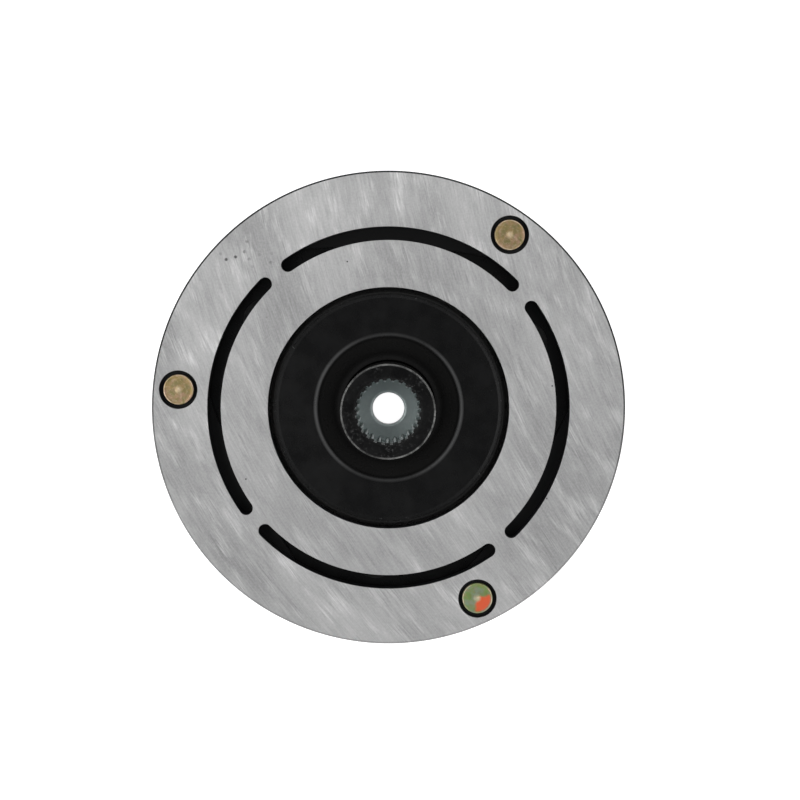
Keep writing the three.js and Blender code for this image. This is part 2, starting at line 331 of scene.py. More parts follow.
class Look:
    """A material under construction. Each method that adds nodes gives back their output."""

    def __init__(self, name, **constants):
        self.material = bpy.data.materials.new(name)
        self.material.use_nodes = True
        self.tree = self.material.node_tree
        self.shader = self.tree.nodes["Principled BSDF"]
        for socket, value in constants.items():
            self.shader.inputs[socket.replace("_", " ")].default_value = value
        self.point = self.add("TexCoord", "Object")

    def add(self, kind, output=0, inputs=None, **settings):
        """A new node's output. Its inputs are numbers, vectors, colours or other nodes' outputs."""
        node = self.tree.nodes.new("ShaderNode" + kind)
        for key, value in settings.items():
            setattr(node, key, value)
        for socket, value in (inputs or {}).items():
            self.feed(node.inputs[socket], value)
        return node.outputs[output]

    def feed(self, socket, value):
        if isinstance(value, bpy.types.NodeSocket):
            self.tree.links.new(value, socket)
        else:
            socket.default_value = value

    def set(self, socket, value):
        self.feed(self.shader.inputs[socket], value)

    def calc(self, operation, *values):
        return self.add("Math", inputs=dict(enumerate(values)), operation=operation)

    def times(self, *factors):
        product = factors[0]
        for factor in factors[1:]:
            product = self.calc("MULTIPLY", product, factor)
        return product

    def parts(self, vector):
        """A vector's x, y and z."""
        return self.add("SeparateXYZ", inputs={0: vector}).node.outputs

    def height(self):
        return self.parts(self.point)[2]

    def radius(self):
        """Distance from the piece's own axis."""
        x, y, _ = self.parts(self.point)
        return self.calc("SQRT", self.calc("ADD", self.times(x, x), self.times(y, y)))

    def sideways(self):
        """0 above and below the piece's axis, along Y, and 1 to its left and right, along X."""
        x, _, _ = self.parts(self.point)
        return self.calc("DIVIDE", self.calc("ABSOLUTE", x), self.radius())

    def ramp(self, value, start, end, low=0.0, high=1.0):
        """Low up to start, high from end on, and a straight slope between them."""
        return self.add("MapRange", inputs={0: value, 1: start, 2: end, 3: low, 4: high})

    def zone(self, length, start, end, low=0.0, high=1.0):
        """A ramp over a length, with its start and end in millimetres."""
        return self.ramp(length, start * MM, end * MM, low, high)

    def band(self, length, middle, half):
        """1 in the middle of a band in millimetres, falling to 0 at its sides."""
        away = self.calc("ABSOLUTE", self.calc("SUBTRACT", length, middle * MM))
        return self.zone(away, 0.0, half, 1.0, 0.0)

    def noise(self, size, vector=None, detail=2.0, roughness=0.5):
        """Smooth noise from 0 to 1 with features of a size in millimetres."""
        inputs = {
            "Vector": vector or self.point,
            "Scale": 1 / (size * MM),
            "Detail": detail,
            "Roughness": roughness,
        }
        return self.add("TexNoise", inputs=inputs)

    def mottle(self, size, start, end, low=0.0, high=1.0, detail=2.0, roughness=0.5):
        """Patches of a size in millimetres: low where the noise is under start, high where it is over end."""
        return self.ramp(self.noise(size, detail=detail, roughness=roughness), start, end, low, high)

    def specks(self, spacing, size, share, flat=False):
        """1 on small round specks of a size in millimetres, with a share of the cells holding one."""
        inputs = {"Vector": self.point, "Scale": 1 / (spacing * MM)}
        cell = self.add("TexVoronoi", inputs=inputs, voronoi_dimensions="2D" if flat else "3D").node
        near = self.ramp(cell.outputs["Distance"], 0.5 * size / spacing, size / spacing, 1.0, 0.0)
        chosen = self.ramp(self.parts(cell.outputs["Color"])[0], share, share + 0.01, 1.0, 0.0)
        return self.times(near, chosen)

    def blend(self, share, first, second):
        """A colour between two."""
        return self.add("Mix", 2, {0: share, 6: first, 7: second}, data_type="RGBA")

    def between(self, share, first, second):
        """A number between two."""
        return self.add("Mix", 0, {0: share, 2: first, 3: second}, data_type="FLOAT")

    def bump(self, *layers):
        """Relief from (height, depth in millimetres) layers."""
        normal = None
        for height, depth in layers:
            inputs = {"Height": height, "Distance": depth * MM, "Strength": 1.0}
            if normal:
                inputs["Normal"] = normal
            normal = self.add("Bump", inputs=inputs)
        self.set("Normal", normal)


# ---- ground steel: the friction face's curved grinding strokes, and the dark coat everywhere else ----

STROKE_R = 233  # the strokes are arcs of this radius, side by side
STROKE_TOP = 99  # how far up the picture from the axis their centres lie
STROKES = ((2.6, 11, 0.07), (0.9, 7, 0.18), (0.35, 4.5, 0.24), (0.16, 3, 0.24))  # width, length and strength
SHEEN = (3.8, 10)  # width and length of the patches where the strokes shine
SHEEN_STRENGTH = 0.14
PATCHES = (20, 40)  # width and length of the large lighter and darker patches
PATCHES_START = (-65, -48, 5)  # the stretch of noise that they are taken from
PATCHES_STRENGTH = 0.82
GRAIN_STRENGTH = 0.23
PLAIN_TONE = 0.275  # the face's place between dark and light steel where nothing is added
DARK_STEEL = (0.22, 0.22, 0.22, 1)
LIGHT_STEEL = (0.86, 0.855, 0.85, 1)
GROUND_DEPTH = (0.03, 0.01)  # how far under the friction face the coat starts to give way, and ends

PITS_AT = (-34, 36)  # the middle of a patch of small pits, along the picture's right and up
PITS_REACH = (8.5, 3.5)  # how far the patch reaches to each side, along X and Y
PIT_BLACK = (0.07, 0.07, 0.07, 1)

COAT_BLACK = (0.008, 0.0085, 0.009, 1)
COAT_GREY = (0.018, 0.0185, 0.019, 1)
CHAMFER_HIGHLIGHT_SHARE = 0.65  # painted highlight: how far the rim's chamfer shows bare steel round its lower side, standing in for light it catches there


def stroke_noise(look, place, width, length, start, detail=1.0, roughness=0.5):
    """Noise drawn out along the strokes, from about -0.5 to 0.5. The start picks a stretch of the noise."""
    scale = (1 / (width * MM), 1 / (length * MM), 1)
    stretched = look.add("VectorMath", 0, {0: place, 1: scale, 2: start}, operation="MULTIPLY_ADD")
    return look.calc("SUBTRACT", look.noise(1 / MM, stretched, detail, roughness), 0.5)


def grinding(look):
    """Places across and along the strokes, and the direction across them."""
    turn = math.radians(VIEW_ROLL)
    seen = look.add("VectorRotate", inputs={"Vector": look.point, "Angle": -turn}, rotation_type="Z_AXIS")
    x, y, _ = look.parts(seen)
    drop = look.calc("SUBTRACT", STROKE_TOP * MM, y)
    reach = look.calc("SQRT", look.calc("SUBTRACT", (STROKE_R * MM) ** 2, look.times(drop, drop)))
    place = look.add("CombineXYZ", inputs={0: look.calc("ADD", x, reach), 1: y})
    across = look.add("CombineXYZ", inputs={0: reach, 1: drop})
    direction = look.add("VectorRotate", inputs={"Vector": across, "Angle": turn}, rotation_type="Z_AXIS")
    return place, direction


def pits(look):
    """1 in small pits: a patch of them, and a few that are scattered over the whole face."""
    reach = Vector((*PITS_REACH, 1)) * MM
    offset = [-middle / across for middle, across in zip(in_view(*PITS_AT) * MM, reach)]
    inputs = {0: look.point, 1: [1 / reach.x, 1 / reach.y, 0], 2: offset}
    from_middle = look.add("VectorMath", 0, inputs, operation="MULTIPLY_ADD")
    away = look.add("VectorMath", 1, {0: from_middle}, operation="LENGTH")
    in_patch = look.ramp(away, 0.9, 1.1, 0.9, 0.0)
    patch = look.times(look.specks(2.7, 0.5, 0.75, flat=True), in_patch, look.mottle(3, 0.48, 0.62, 0.2, 1.0))
    return look.calc("MAXIMUM", patch, look.specks(18, 0.25, 0.3, flat=True))


def painted_chamfer_highlight(look):
    """More than 0 on the rim's chamfer round its lower side: a painted highlight, bare steel standing in for
    the light that the chamfer catches there.
    """
    inner_r = ARMATURE_R - RIM_CHAMFER
    lowest = FRICTION_Z - RIM_CHAMFER
    outside = look.zone(look.radius(), inner_r - 0.05, inner_r)
    above = look.zone(look.height(), lowest - 0.05, lowest)
    lower_side = look.zone(look.parts(look.point)[1], -30, 10, CHAMFER_HIGHLIGHT_SHARE, 0.0)
    return look.times(outside, above, lower_side)


def ground_steel():
    look = Look("ground_steel", Anisotropic=0.75, Specular_IOR_Level=0.2)
    place, direction = grinding(look)
    outside_slots = look.zone(look.radius(), SLOT_INNER_R, SLOT_OUTER_R)
    strokes = 0.0
    for width, length, strength in STROKES:
        layer = look.times(stroke_noise(look, place, width, length, (0, 0, width)), strength)
        strokes = look.calc("ADD", strokes, layer)
    sheen = look.ramp(stroke_noise(look, place, *SHEEN, (0, 0, 5), detail=3.0), 0.0, 0.24)
    sheen = look.times(sheen, look.between(outside_slots, 0.9, 1.4))
    patches = stroke_noise(look, place, *PATCHES, PATCHES_START, detail=4.0, roughness=0.6)
    patches = look.times(patches, look.between(outside_slots, 0.7, 1.0))
    grain = look.calc("SUBTRACT", look.noise(0.5, roughness=0.6), 0.5)
    light = look.times(strokes, look.between(sheen, 0.8, 2.4))
    for layer, strength in ((sheen, SHEEN_STRENGTH), (patches, PATCHES_STRENGTH), (grain, GRAIN_STRENGTH)):
        light = look.calc("ADD", light, look.times(layer, strength))
    light = look.calc("ADD", light, PLAIN_TONE)
    steel = look.blend(pits(look), look.blend(light, DARK_STEEL, LIGHT_STEEL), PIT_BLACK)
    ground = look.zone(look.height(), *(FRICTION_Z - depth for depth in GROUND_DEPTH))
    # the chamfer's painted highlight shows as bare steel, like the ground face
    ground = look.calc("MAXIMUM", ground, painted_chamfer_highlight(look))
    coat = look.blend(look.noise(3), COAT_BLACK, COAT_GREY)
    look.set("Base Color", look.blend(ground, coat, steel))
    look.set("Metallic", ground)
    look.set("Roughness", look.between(ground, 0.55, look.ramp(strokes, -0.2, 0.2, 0.50, 0.56)))
    look.set("Tangent", direction)
    look.bump((look.noise(0.6), 0.003), (look.times(strokes, ground), 0.006))
    return look.material


# ---- black coat: electrocoated plate and boss, with worn edges ----

BLACK = (0.0026, 0.0026, 0.0027, 1)
DUSTY = (0.0060, 0.0060, 0.0060, 1)
DULL = (0.0150, 0.0148, 0.0145, 1)
# painted light on the shoulder, which lies in shade under the armature's opening
SHOULDER_PAINTED_LIGHT = (0.050, 0.050, 0.049, 1)
SCUFFED = (0.10, 0.10, 0.10, 1)
# a painted highlight on the dish's lip
LIP_HIGHLIGHT_GREY = (0.145, 0.145, 0.145, 1)
WORN_RIM = (0.18, 0.18, 0.175, 1)
DARK_PHOSPHATE = (0.34, 0.385, 0.385, 1)
LIGHT_PHOSPHATE = (0.45, 0.50, 0.49, 1)
# painted shade on the socket's upper side
SHADED_PHOSPHATE = (0.22, 0.26, 0.26, 1)


def black_plate():
    """The hub plate: black coat, dull in the dish with painted shade where it meets the boss, a lighter grey
    painted on the shoulder as light, and a painted highlight at the dish's lip.
    """
    look = Look("black_coat", Specular_IOR_Level=0.2)
    radius = look.radius()
    height = look.height()
    dished = look.zone(radius, CROWN_INNER_R - 0.8, CROWN_INNER_R, 1.0, 0.0)
    # painted shade: the dish darkens towards black round the boss
    shade_round_boss = look.zone(radius, DISH_R, DISH_R + 1.5, 0.4, 0.0)
    on_crown = look.zone(height, CROWN_Z - 1.2, CROWN_Z - 0.6)
    past_crown = look.zone(radius, CROWN_OUTER_R + 0.1, CROWN_OUTER_R + 0.5)
    shoulder = look.times(past_crown, look.zone(height, SHOULDER_Z, SHOULDER_Z + 0.3))
    lip = look.times(look.band(radius, CROWN_INNER_R + 0.35, 0.62), on_crown)
    # A painted highlight on the dish's lip: a lighter, partly metallic band, patchy, and strongest on the
    # left and right, where the side lights fall.
    lit_sides = look.ramp(look.sideways(), 0.4, 1.0, 0.27, 1.0)
    lip_highlight = look.times(lip, lit_sides, look.mottle(6, 0.3, 0.7, 0.75, 1.0))
    edge = look.times(look.band(radius, CROWN_OUTER_R + 0.1, 0.8), on_crown)
    chips = look.mottle(0.9, 0.62, 0.72, detail=4.0, roughness=0.7)
    colour = look.blend(look.mottle(9, 0.45, 0.75, detail=4.0), BLACK, DUSTY)
    colour = look.blend(dished, colour, look.blend(shade_round_boss, DULL, BLACK))
    # painted light: the shoulder is given a lighter grey
    colour = look.blend(shoulder, colour, SHOULDER_PAINTED_LIGHT)
    colour = look.blend(look.times(look.specks(3, 0.22, 0.10), 0.6), colour, SCUFFED)
    colour = look.blend(look.times(edge, chips), colour, SCUFFED)
    look.set("Base Color", look.blend(lip_highlight, colour, LIP_HIGHLIGHT_GREY))
    look.set("Metallic", look.times(lip_highlight, 0.6))
    look.set("Roughness", look.mottle(4, 0.3, 0.7, 0.24, 0.32, detail=3.0))
    look.bump((look.noise(0.7, detail=1.0), 0.008), (look.noise(7), 0.02))
    return look.material


def in_socket(look):
    """1 in the splined socket: on its web, on the tips of its teeth, and deep down between them."""
    radius = look.radius()
    height = look.height()
    above_web = look.zone(height, WEB_REAR_Z - 0.8, WEB_REAR_Z - 0.5)
    below_face = look.zone(height, BOSS_TOP_Z - 0.9, BOSS_TOP_Z - 0.3, 1.0, 0.0)
    on_tips = look.zone(radius, SPLINE_TIP_R + 0.2, SPLINE_TIP_R + 0.4, 1.0, 0.0)
    inside_roots = look.zone(radius, SPLINE_ROOT_R + 0.1, SPLINE_ROOT_R + 0.3, 1.0, 0.0)
    deep = look.zone(height, BOSS_TOP_Z - 9, BOSS_TOP_Z - 6, 1.0, 0.0)
    inside = look.calc("MAXIMUM", on_tips, look.times(inside_roots, deep))
    return look.times(above_web, below_face, inside)


def black_boss():
    """The boss: black coat outside, bright on its worn rim, and bare grey phosphate in the splined socket,
    with painted shade darkening the socket towards its upper side.
    """
    look = Look("black_coat_and_grey_socket", Specular_IOR_Level=0.13)
    grey = in_socket(look)
    on_end = look.zone(look.height(), BOSS_TOP_Z - 0.7, BOSS_TOP_Z - 0.5)
    at_edge = look.zone(look.radius(), BOSS_R - 0.48, BOSS_R - 0.30)
    broad_wear = look.mottle(5, 0.40, 0.58, 0.35, 1.0)
    fine_wear = look.mottle(1.2, 0.38, 0.60, 0.3, 1.0, detail=4.0)
    rim = look.times(on_end, at_edge, broad_wear, fine_wear)
    chips = look.mottle(0.9, 0.54, 0.70, detail=6.0, roughness=0.8)
    scuffs = look.times(on_end, chips, look.mottle(4.5, 0.42, 0.64, 0.12, 1.0))
    colour = look.blend(look.mottle(6, 0.4, 0.7, detail=4.0), BLACK, DUSTY)
    colour = look.blend(scuffs, colour, SCUFFED)
    colour = look.blend(rim, colour, WORN_RIM)
    # painted shade: the socket's phosphate darkens towards +Y, the picture's top, where its mouth shades it
    socket_top_shade = look.zone(look.parts(look.point)[1], -2, 5, 0.0, 0.6)
    phosphate = look.blend(look.noise(0.8, detail=4.0), DARK_PHOSPHATE, LIGHT_PHOSPHATE)
    phosphate = look.blend(socket_top_shade, phosphate, SHADED_PHOSPHATE)
    look.set("Base Color", look.blend(grey, colour, phosphate))
    look.set("Metallic", look.calc("MAXIMUM", look.times(rim, 0.8), look.times(grey, 0.9)))
    look.set("Roughness", look.between(grey, look.mottle(3, 0.3, 0.7, 0.24, 0.32, detail=3.0), 0.4))
    look.bump((look.noise(0.35), 0.006), (look.noise(1.6), 0.012))
    return look.material


# ---- yellow chromate on the rivets, spacers and washers ----

GOLD = (0.285, 0.205, 0.088, 1)
OLIVE = (0.20, 0.172, 0.075, 1)
ROSE = (0.33, 0.21, 0.14, 1)
# bare zinc, also the colour of the painted highlight on a rivet head's rim
BARE_ZINC_AND_HIGHLIGHT = (0.74, 0.60, 0.44, 1)


def chromate(look):
    """The mottled colour of yellow chromate, rubbed off in places."""
    tinted = look.blend(look.mottle(1.5, 0.40, 0.60, detail=4.0), OLIVE, GOLD)
    tinted = look.blend(look.mottle(1.9, 0.46, 0.66, detail=3.0), tinted, ROSE)
    return look.blend(look.mottle(0.7, 0.50, 0.75, 0.0, 0.3, detail=3.0, roughness=0.7), tinted, BARE_ZINC_AND_HIGHLIGHT)


def yellow_zinc(name="yellow_chromate", paint=None):
    """The finish of the rivets, spacers and washers. A rivet's head shows the swirls of the tool that closed
    it; its rim carries a painted highlight, strongest on the left and right, and its pip is rubbed bright.
    Paint is a function that changes the head's looks."""
    look = Look(name, Specular_IOR_Level=0.4)
    radius = look.radius()
    on_head = look.zone(look.height(), COUNTERBORE_Z + 1.0, COUNTERBORE_Z + 1.4)
    colour = chromate(look)
    metallic = 0.9
    roughness = look.mottle(0.8, 0.3, 0.7, 0.34, 0.50, detail=3.0)
    if paint:
        colour, metallic, roughness = paint(look, colour, on_head)
    # painted highlight: a bright band at the head's rounded rim, strongest on the left and right, where the
    # side lights fall; the pip is rubbed bare
    lit_sides = look.ramp(look.sideways(), 0.4, 0.9, 0.3, 1.0)
    rim = look.times(look.band(radius, RIVET_HEAD_R - 0.18, 0.14), lit_sides)
    pip = look.zone(radius, 0.1, 1.1, 0.75, 0.0)
    rim_highlight_and_pip = look.times(look.calc("MAXIMUM", rim, pip), look.mottle(1.2, 0.35, 0.6, 0.35, 1.0), on_head)
    look.set("Base Color", look.blend(rim_highlight_and_pip, colour, BARE_ZINC_AND_HIGHLIGHT))
    look.set("Metallic", metallic)
    look.set("Roughness", roughness)
    around = look.add("CombineXYZ", inputs={0: look.times(radius, 4.0), 1: look.parts(look.point)[0]})
    swirls = look.times(look.noise(0.9, around), on_head)
    look.bump((look.noise(0.25), 0.010), (look.noise(1.3), 0.02), (swirls, 0.02))
    return look.material


RIVET_TURN = 40  # degrees from one rivet to the next, so that their patches don't look alike

# A fitter's mark: a worn green dab over one rivet's head, and an orange wedge over that.
MARKED_RIVET = 3
PAINT_GREEN = (0.105, 0.22, 0.045, 1)
PAINT_BLUE_GREEN = (0.16, 0.23, 0.165, 1)
PAINT_ORANGE = (0.63, 0.076, 0.018, 1)
PAINT_SHIFT = 1.0  # how far the wedge's edges wander, from one extreme to the other
# Where each straight side of the wedge faces, in degrees, and how far it lies that way.
WEDGE_SIDES = ((-78, -0.30), (-6, -0.05))
WEDGE_SOFTNESS = 0.35


def fitters_mark(look, colour, on_head):
    """The head's colour, metallic and roughness with the paint over them."""
    wander = look.add("TexNoise", 1, {"Vector": look.point, "Scale": 1 / (1.2 * MM), "Detail": 3.0})
    most = PAINT_SHIFT * MM
    inputs = {0: wander, 1: (most, most, 0), 2: (-most / 2, -most / 2, 0)}
    shift = look.add("VectorMath", 0, inputs, operation="MULTIPLY_ADD")
    x, y, _ = look.parts(look.add("VectorMath", 0, {0: look.point, 1: shift}, operation="ADD"))
    radius = look.radius()
    inside_rim = look.zone(radius, RIVET_HEAD_R - 0.75, RIVET_HEAD_R - 0.25, 1.0, 0.0)
    wedge = look.times(inside_rim, look.zone(radius, 0.4, 0.9, 0.2, 1.0))
    for facing, side in WEDGE_SIDES:
        right, up = polar(1, facing)
        ahead = look.calc("ADD", look.times(x, right), look.times(y, up))
        wedge = look.times(wedge, look.zone(ahead, side - WEDGE_SOFTNESS, side + WEDGE_SOFTNESS))
    worn = look.mottle(0.7, 0.34, 0.60, detail=4.0, roughness=0.7)
    green = look.times(on_head, look.between(worn, 0.35, 0.92))
    orange = look.times(on_head, wedge, 0.95)
    paint = look.blend(look.mottle(2.2, 0.46, 0.64), PAINT_GREEN, PAINT_BLUE_GREEN)
    colour = look.blend(orange, look.blend(green, colour, paint), PAINT_ORANGE)
    bare = look.calc("SUBTRACT", 1.0, look.calc("MAXIMUM", green, orange))
    return colour, look.times(bare, 0.9), look.between(bare, 0.42, 0.36)


# ---- spring steel and rubber ----

SPRING_BLACK = (0.0026, 0.0026, 0.0028, 1)
SPRING_GREY = (0.006, 0.006, 0.0065, 1)
RUBBER_BLACK = (0.003, 0.003, 0.003, 1)
RUBBER_GREY = (0.007, 0.007, 0.0068, 1)


def spring_steel():
    look = Look("spring_steel", Specular_IOR_Level=0.2)
    look.set("Base Color", look.blend(look.noise(5, detail=4.0), SPRING_BLACK, SPRING_GREY))
    look.set("Roughness", look.mottle(2, 0.3, 0.7, 0.38, 0.52, detail=3.0))
    look.bump((look.noise(0.3), 0.003))
    return look.material


def stop_rubber():
    look = Look("stop_rubber", Specular_IOR_Level=0.15)
    look.set("Base Color", look.blend(look.noise(2, detail=4.0), RUBBER_BLACK, RUBBER_GREY))
    look.set("Roughness", look.mottle(1, 0.3, 0.7, 0.62, 0.8))
    look.bump((look.noise(0.2), 0.006))
    return look.material


# ---- the armature ----


def slot_outline(middle):
    """An arc slot with round ends."""
    middle_r = (SLOT_INNER_R + SLOT_OUTER_R) / 2
    end_r = (SLOT_OUTER_R - SLOT_INNER_R) / 2
    half = 180 / len(SLOT_ANGLES) - math.degrees((SLOT_BRIDGE / 2 + end_r) / middle_r)
    first = middle - half
    last = middle + half
    return (
        arc((0, 0), SLOT_OUTER_R, first, last, 90)
        + arc(polar(middle_r, last), end_r, last, last + 180, 18)[1:-1]
        + arc((0, 0), SLOT_INNER_R, last, first, 90)
        + arc(polar(middle_r, first), end_r, first + 180, first + 360, 18)[1:-1]
    )


def armature_plate(material):
    rim = filleted([
        (-2 * RIM_CHAMFER, FRICTION_Z),
        (-RIM_CHAMFER, FRICTION_Z, 0.06),
        (0, FRICTION_Z - RIM_CHAMFER, 0.1),
        (0, ARMATURE_Z + RIM_CHAMFER, 0.1),
        (-RIM_CHAMFER, ARMATURE_Z, 0.06),
        (-2 * RIM_CHAMFER, ARMATURE_Z),
    ], steps=2)
    edge = plain_edge(FRICTION_Z, ARMATURE_Z, 0.12, 1)
    step = SHANK_HOLE_R - COUNTERBORE_R
    rivet_hole = filleted([
        (CAP_RIM, FRICTION_Z),
        (0, FRICTION_Z, 0.12),
        (0, COUNTERBORE_Z, 0.2),
        (step, COUNTERBORE_Z, 0.08),
        (step, ARMATURE_Z, 0.15),
        (step + CAP_RIM, ARMATURE_Z),
    ])
    walls = [wall(circle(ARMATURE_R, 360), rim), wall(circle(OPENING_R, 288), edge)]
    walls += [wall(slot_outline(angle), edge) for angle in SLOT_ANGLES]
    walls += [wall(circle(COUNTERBORE_R, 72, centre_of(f"armature_rivet_{i}")), rivet_hole) for i in SETS]
    stand_in("armature_plate", walls, material)


def armature_rivet(number, material, turn):
    """A rivet with a slightly dished head in the counterbore, and its closed tail under the leaf pack."""
    node = f"armature_rivet_{number}"
    low, high = corners_of(node)
    seat_z = COUNTERBORE_Z + TOUCH
    tail_r = (high.x - low.x) / 2
    tail_z = low.z + RIVET_TAIL_HEIGHT
    profile = filleted([
        (0, high.z),
        (0.3, high.z, 0.1),
        (0.75, high.z - 0.10, 0.3),
        (2.9, high.z - 0.12, 0.5),
        (3.3, high.z - 0.06, 0.3),
        (RIVET_HEAD_R, high.z - 0.10, 0.2),
        (RIVET_HEAD_R, seat_z, 0.1),
        (SHANK_R, seat_z),
        (SHANK_R, tail_z),
        (tail_r, tail_z, 0.1),
        (tail_r, low.z + 1.1, 0.5),
        (2.4, low.z, 0.6),
        (1.0, low.z, 0.2),
        (0.6, low.z + 0.3, 0.1),
        (0, low.z + 0.35),
    ])
    stand_in(node, [turned(profile)], material, place=centre_of(node), turn=turn)


def collar(node, material):
    """A spacer or washer: a flat ring."""
    low, high = corners_of(node)
    outer_r = (high.x - low.x) / 2
    profile = filleted([
        (SHANK_HOLE_R, low.z, 0.06),
        (outer_r, low.z, 0.12),
        (outer_r, high.z, 0.12),
        (SHANK_HOLE_R, high.z, 0.06),
    ], steps=3)
    stand_in(node, [turned(profile)], material, closed=True, place=centre_of(node))


# ---- the hub ----


def plate_outline():
    """A disc with a round lobe at each hub rivet, joined to it by straight tangents."""
    rivets = [centre_of(f"hub_rivet_{i}") for i in SETS]
    rivet_r = math.hypot(*rivets[0])
    lobes = sorted(math.degrees(math.atan2(y, x)) % 360 for x, y in rivets)
    tangent = math.degrees(math.acos((PLATE_BASE_R - PLATE_LOBE_R) / rivet_r))
    outline = []
    for lobe in lobes:
        start = lobe - tangent
        end = lobe + tangent
        outline += arc(polar(rivet_r, lobe), PLATE_LOBE_R, start, end, 32)
        outline += arc((0, 0), PLATE_BASE_R, end, start + 360 / len(lobes), 60)
    return outline


def hub_plate(material):
    """The pressed plate: a flat base with lobes, and a ring-shaped crown round a sunk middle."""
    under_z = CROWN_Z - PLATE_THICK
    dish_wall = 1.4
    shoulder_wall = 2.5
    flange_r = FOOT_R + 1.5
    edge = filleted([(-0.9, PLATE_TOP_Z), (0, PLATE_TOP_Z, 0.6), (0, PLATE_Z, 0.15), (-0.5, PLATE_Z)])
    rivet_edge = plain_edge(PLATE_TOP_Z, PLATE_Z, 0.15, 1)
    stop_edge = plain_edge(PLATE_TOP_Z, PLATE_Z, 0.3, 1)
    crown = filleted([
        (flange_r, PLATE_TOP_Z),
        (FOOT_R, PLATE_TOP_Z, 0.8),
        (SHOULDER_R, SHOULDER_Z, 0.8),
        (CROWN_OUTER_R + CROWN_ROUND, CROWN_Z - CROWN_ROUND / 3, 0.7),
        (CROWN_OUTER_R, CROWN_Z, 0.4),
        (CROWN_OUTER_R - 0.8, CROWN_Z - CROWN_FALL, 0.6),
        (CROWN_INNER_R + 1.1, CROWN_Z - 0.6 * CROWN_FALL, 0.6),
        (CROWN_INNER_R, CROWN_Z - CROWN_FALL, 0.5),
        (DISH_R, PLATE_TOP_Z, 1.5),
        (PLATE_HOLE_R, PLATE_TOP_Z, 0.15),
        (PLATE_HOLE_R, PLATE_Z, 0.15),
        (DISH_R + dish_wall, PLATE_Z, 1.2),
        (CROWN_INNER_R + dish_wall, under_z, 1.2),
        (SHOULDER_R - shoulder_wall, under_z, 1.2),
        (FOOT_R - shoulder_wall, PLATE_Z, 1.1),
        (flange_r, PLATE_Z),
    ])
    walls = [wall(plate_outline(), edge)]
    walls += [wall(circle(SHANK_HOLE_R, 48, centre_of(f"hub_rivet_{i}")), rivet_edge) for i in SETS]
    walls += [wall(circle(STOP_HOLE_R, 64, centre_of(f"rubber_stop_{i}")), stop_edge) for i in SETS]
    walls.append(turned(crown, 360))
    stand_in("hub_plate", walls, material)


TOOTH_STEPS = 16  # points round each tooth, its tip in the middle of them
TIP_STEPS = 2  # points from a tip's middle to its corner
FLANK_STEPS = 3  # points from there to the root
SOCKET_STEPS = SPLINE_TEETH * TOOTH_STEPS
MOUTH_STEPS = 9  # rings up the mouth's cone


def tooth_radius(index):
    """The splined wall's radius at one of the points round it."""
    from_tip = min(index % TOOTH_STEPS, -index % TOOTH_STEPS)
    share = min(1, max(0, (from_tip - TIP_STEPS) / FLANK_STEPS))
    return SPLINE_TIP_R + share * (SPLINE_ROOT_R - SPLINE_TIP_R)


def splined_ring(z, at_least=0.0):
    """A ring of the splined wall, cut back to a cone's radius where that is larger."""
    radii = [max(at_least, tooth_radius(i)) for i in range(SOCKET_STEPS)]
    return [(*polar(radius, 360 * i / SOCKET_STEPS), z) for i, radius in enumerate(radii)]


def hub_boss(material):
    """The boss on its flange, with the bolt's recess and hole in front and the splined socket behind."""
    seat_z = PLATE_Z - TOUCH
    web_edge_r = SPLINE_TIP_R - 0.15
    outside = filleted([
        (MOUTH_R, BOSS_TOP_Z, 0.1),
        (BOSS_R, BOSS_TOP_Z, BOSS_EDGE_ROUND),
        (BOSS_R, seat_z, 0.3),
        (BOSS_FLANGE_R, seat_z, 0.3),
        (BOSS_FLANGE_R, 0, 0.5),
        (BOLT_RECESS_R, 0, 0.6),
        (BOLT_RECESS_R, WEB_FRONT_Z, 0.4),
        (BOLT_HOLE_R, WEB_FRONT_Z, 0.35),
        (BOLT_HOLE_R, WEB_REAR_Z - 0.11, 0.1),
        (BOLT_HOLE_R + 0.5, WEB_REAR_Z, 0.3),
        (web_edge_r, WEB_REAR_Z),
    ])
    rings = turned(outside, SOCKET_STEPS)
    rings.append(splined_ring(WEB_REAR_Z))
    cone_start_r = SPLINE_TIP_R - 0.1
    for i in range(MOUTH_STEPS):
        cone_r = cone_start_r + (MOUTH_R - cone_start_r) * i / (MOUTH_STEPS - 1)
        rings.append(splined_ring(BOSS_TOP_Z - MOUTH_DEPTH * (1 - i / MOUTH_STEPS), cone_r))
    stand_in("hub_boss", [rings], material, closed=True)


def hub_rivet(number, material):
    """A rivet with its head under the plate, and its closed tail over the leaf pack."""
    node = f"hub_rivet_{number}"
    low, high = corners_of(node)
    head_r = (high.x - low.x) / 2
    tail_r = head_r - 0.2
    seat_z = PLATE_Z - TOUCH
    tail_z = high.z - HUB_RIVET_TAIL_HEIGHT
    profile = filleted([
        (0, high.z),
        (1.2, high.z, 0.5),
        (tail_r, high.z - 0.2, 0.4),
        (tail_r, tail_z, 0.1),
        (SHANK_R, tail_z),
        (SHANK_R, seat_z),
        (head_r, seat_z, 0.1),
        (head_r, low.z + 0.9, 0.5),
        (2.8, low.z, 0.9),
        (1.1, low.z, 0.2),
        (0.7, low.z + 0.35, 0.1),
        (0, low.z + 0.4),
    ])
    stand_in(node, [turned(profile)], material, place=centre_of(node))


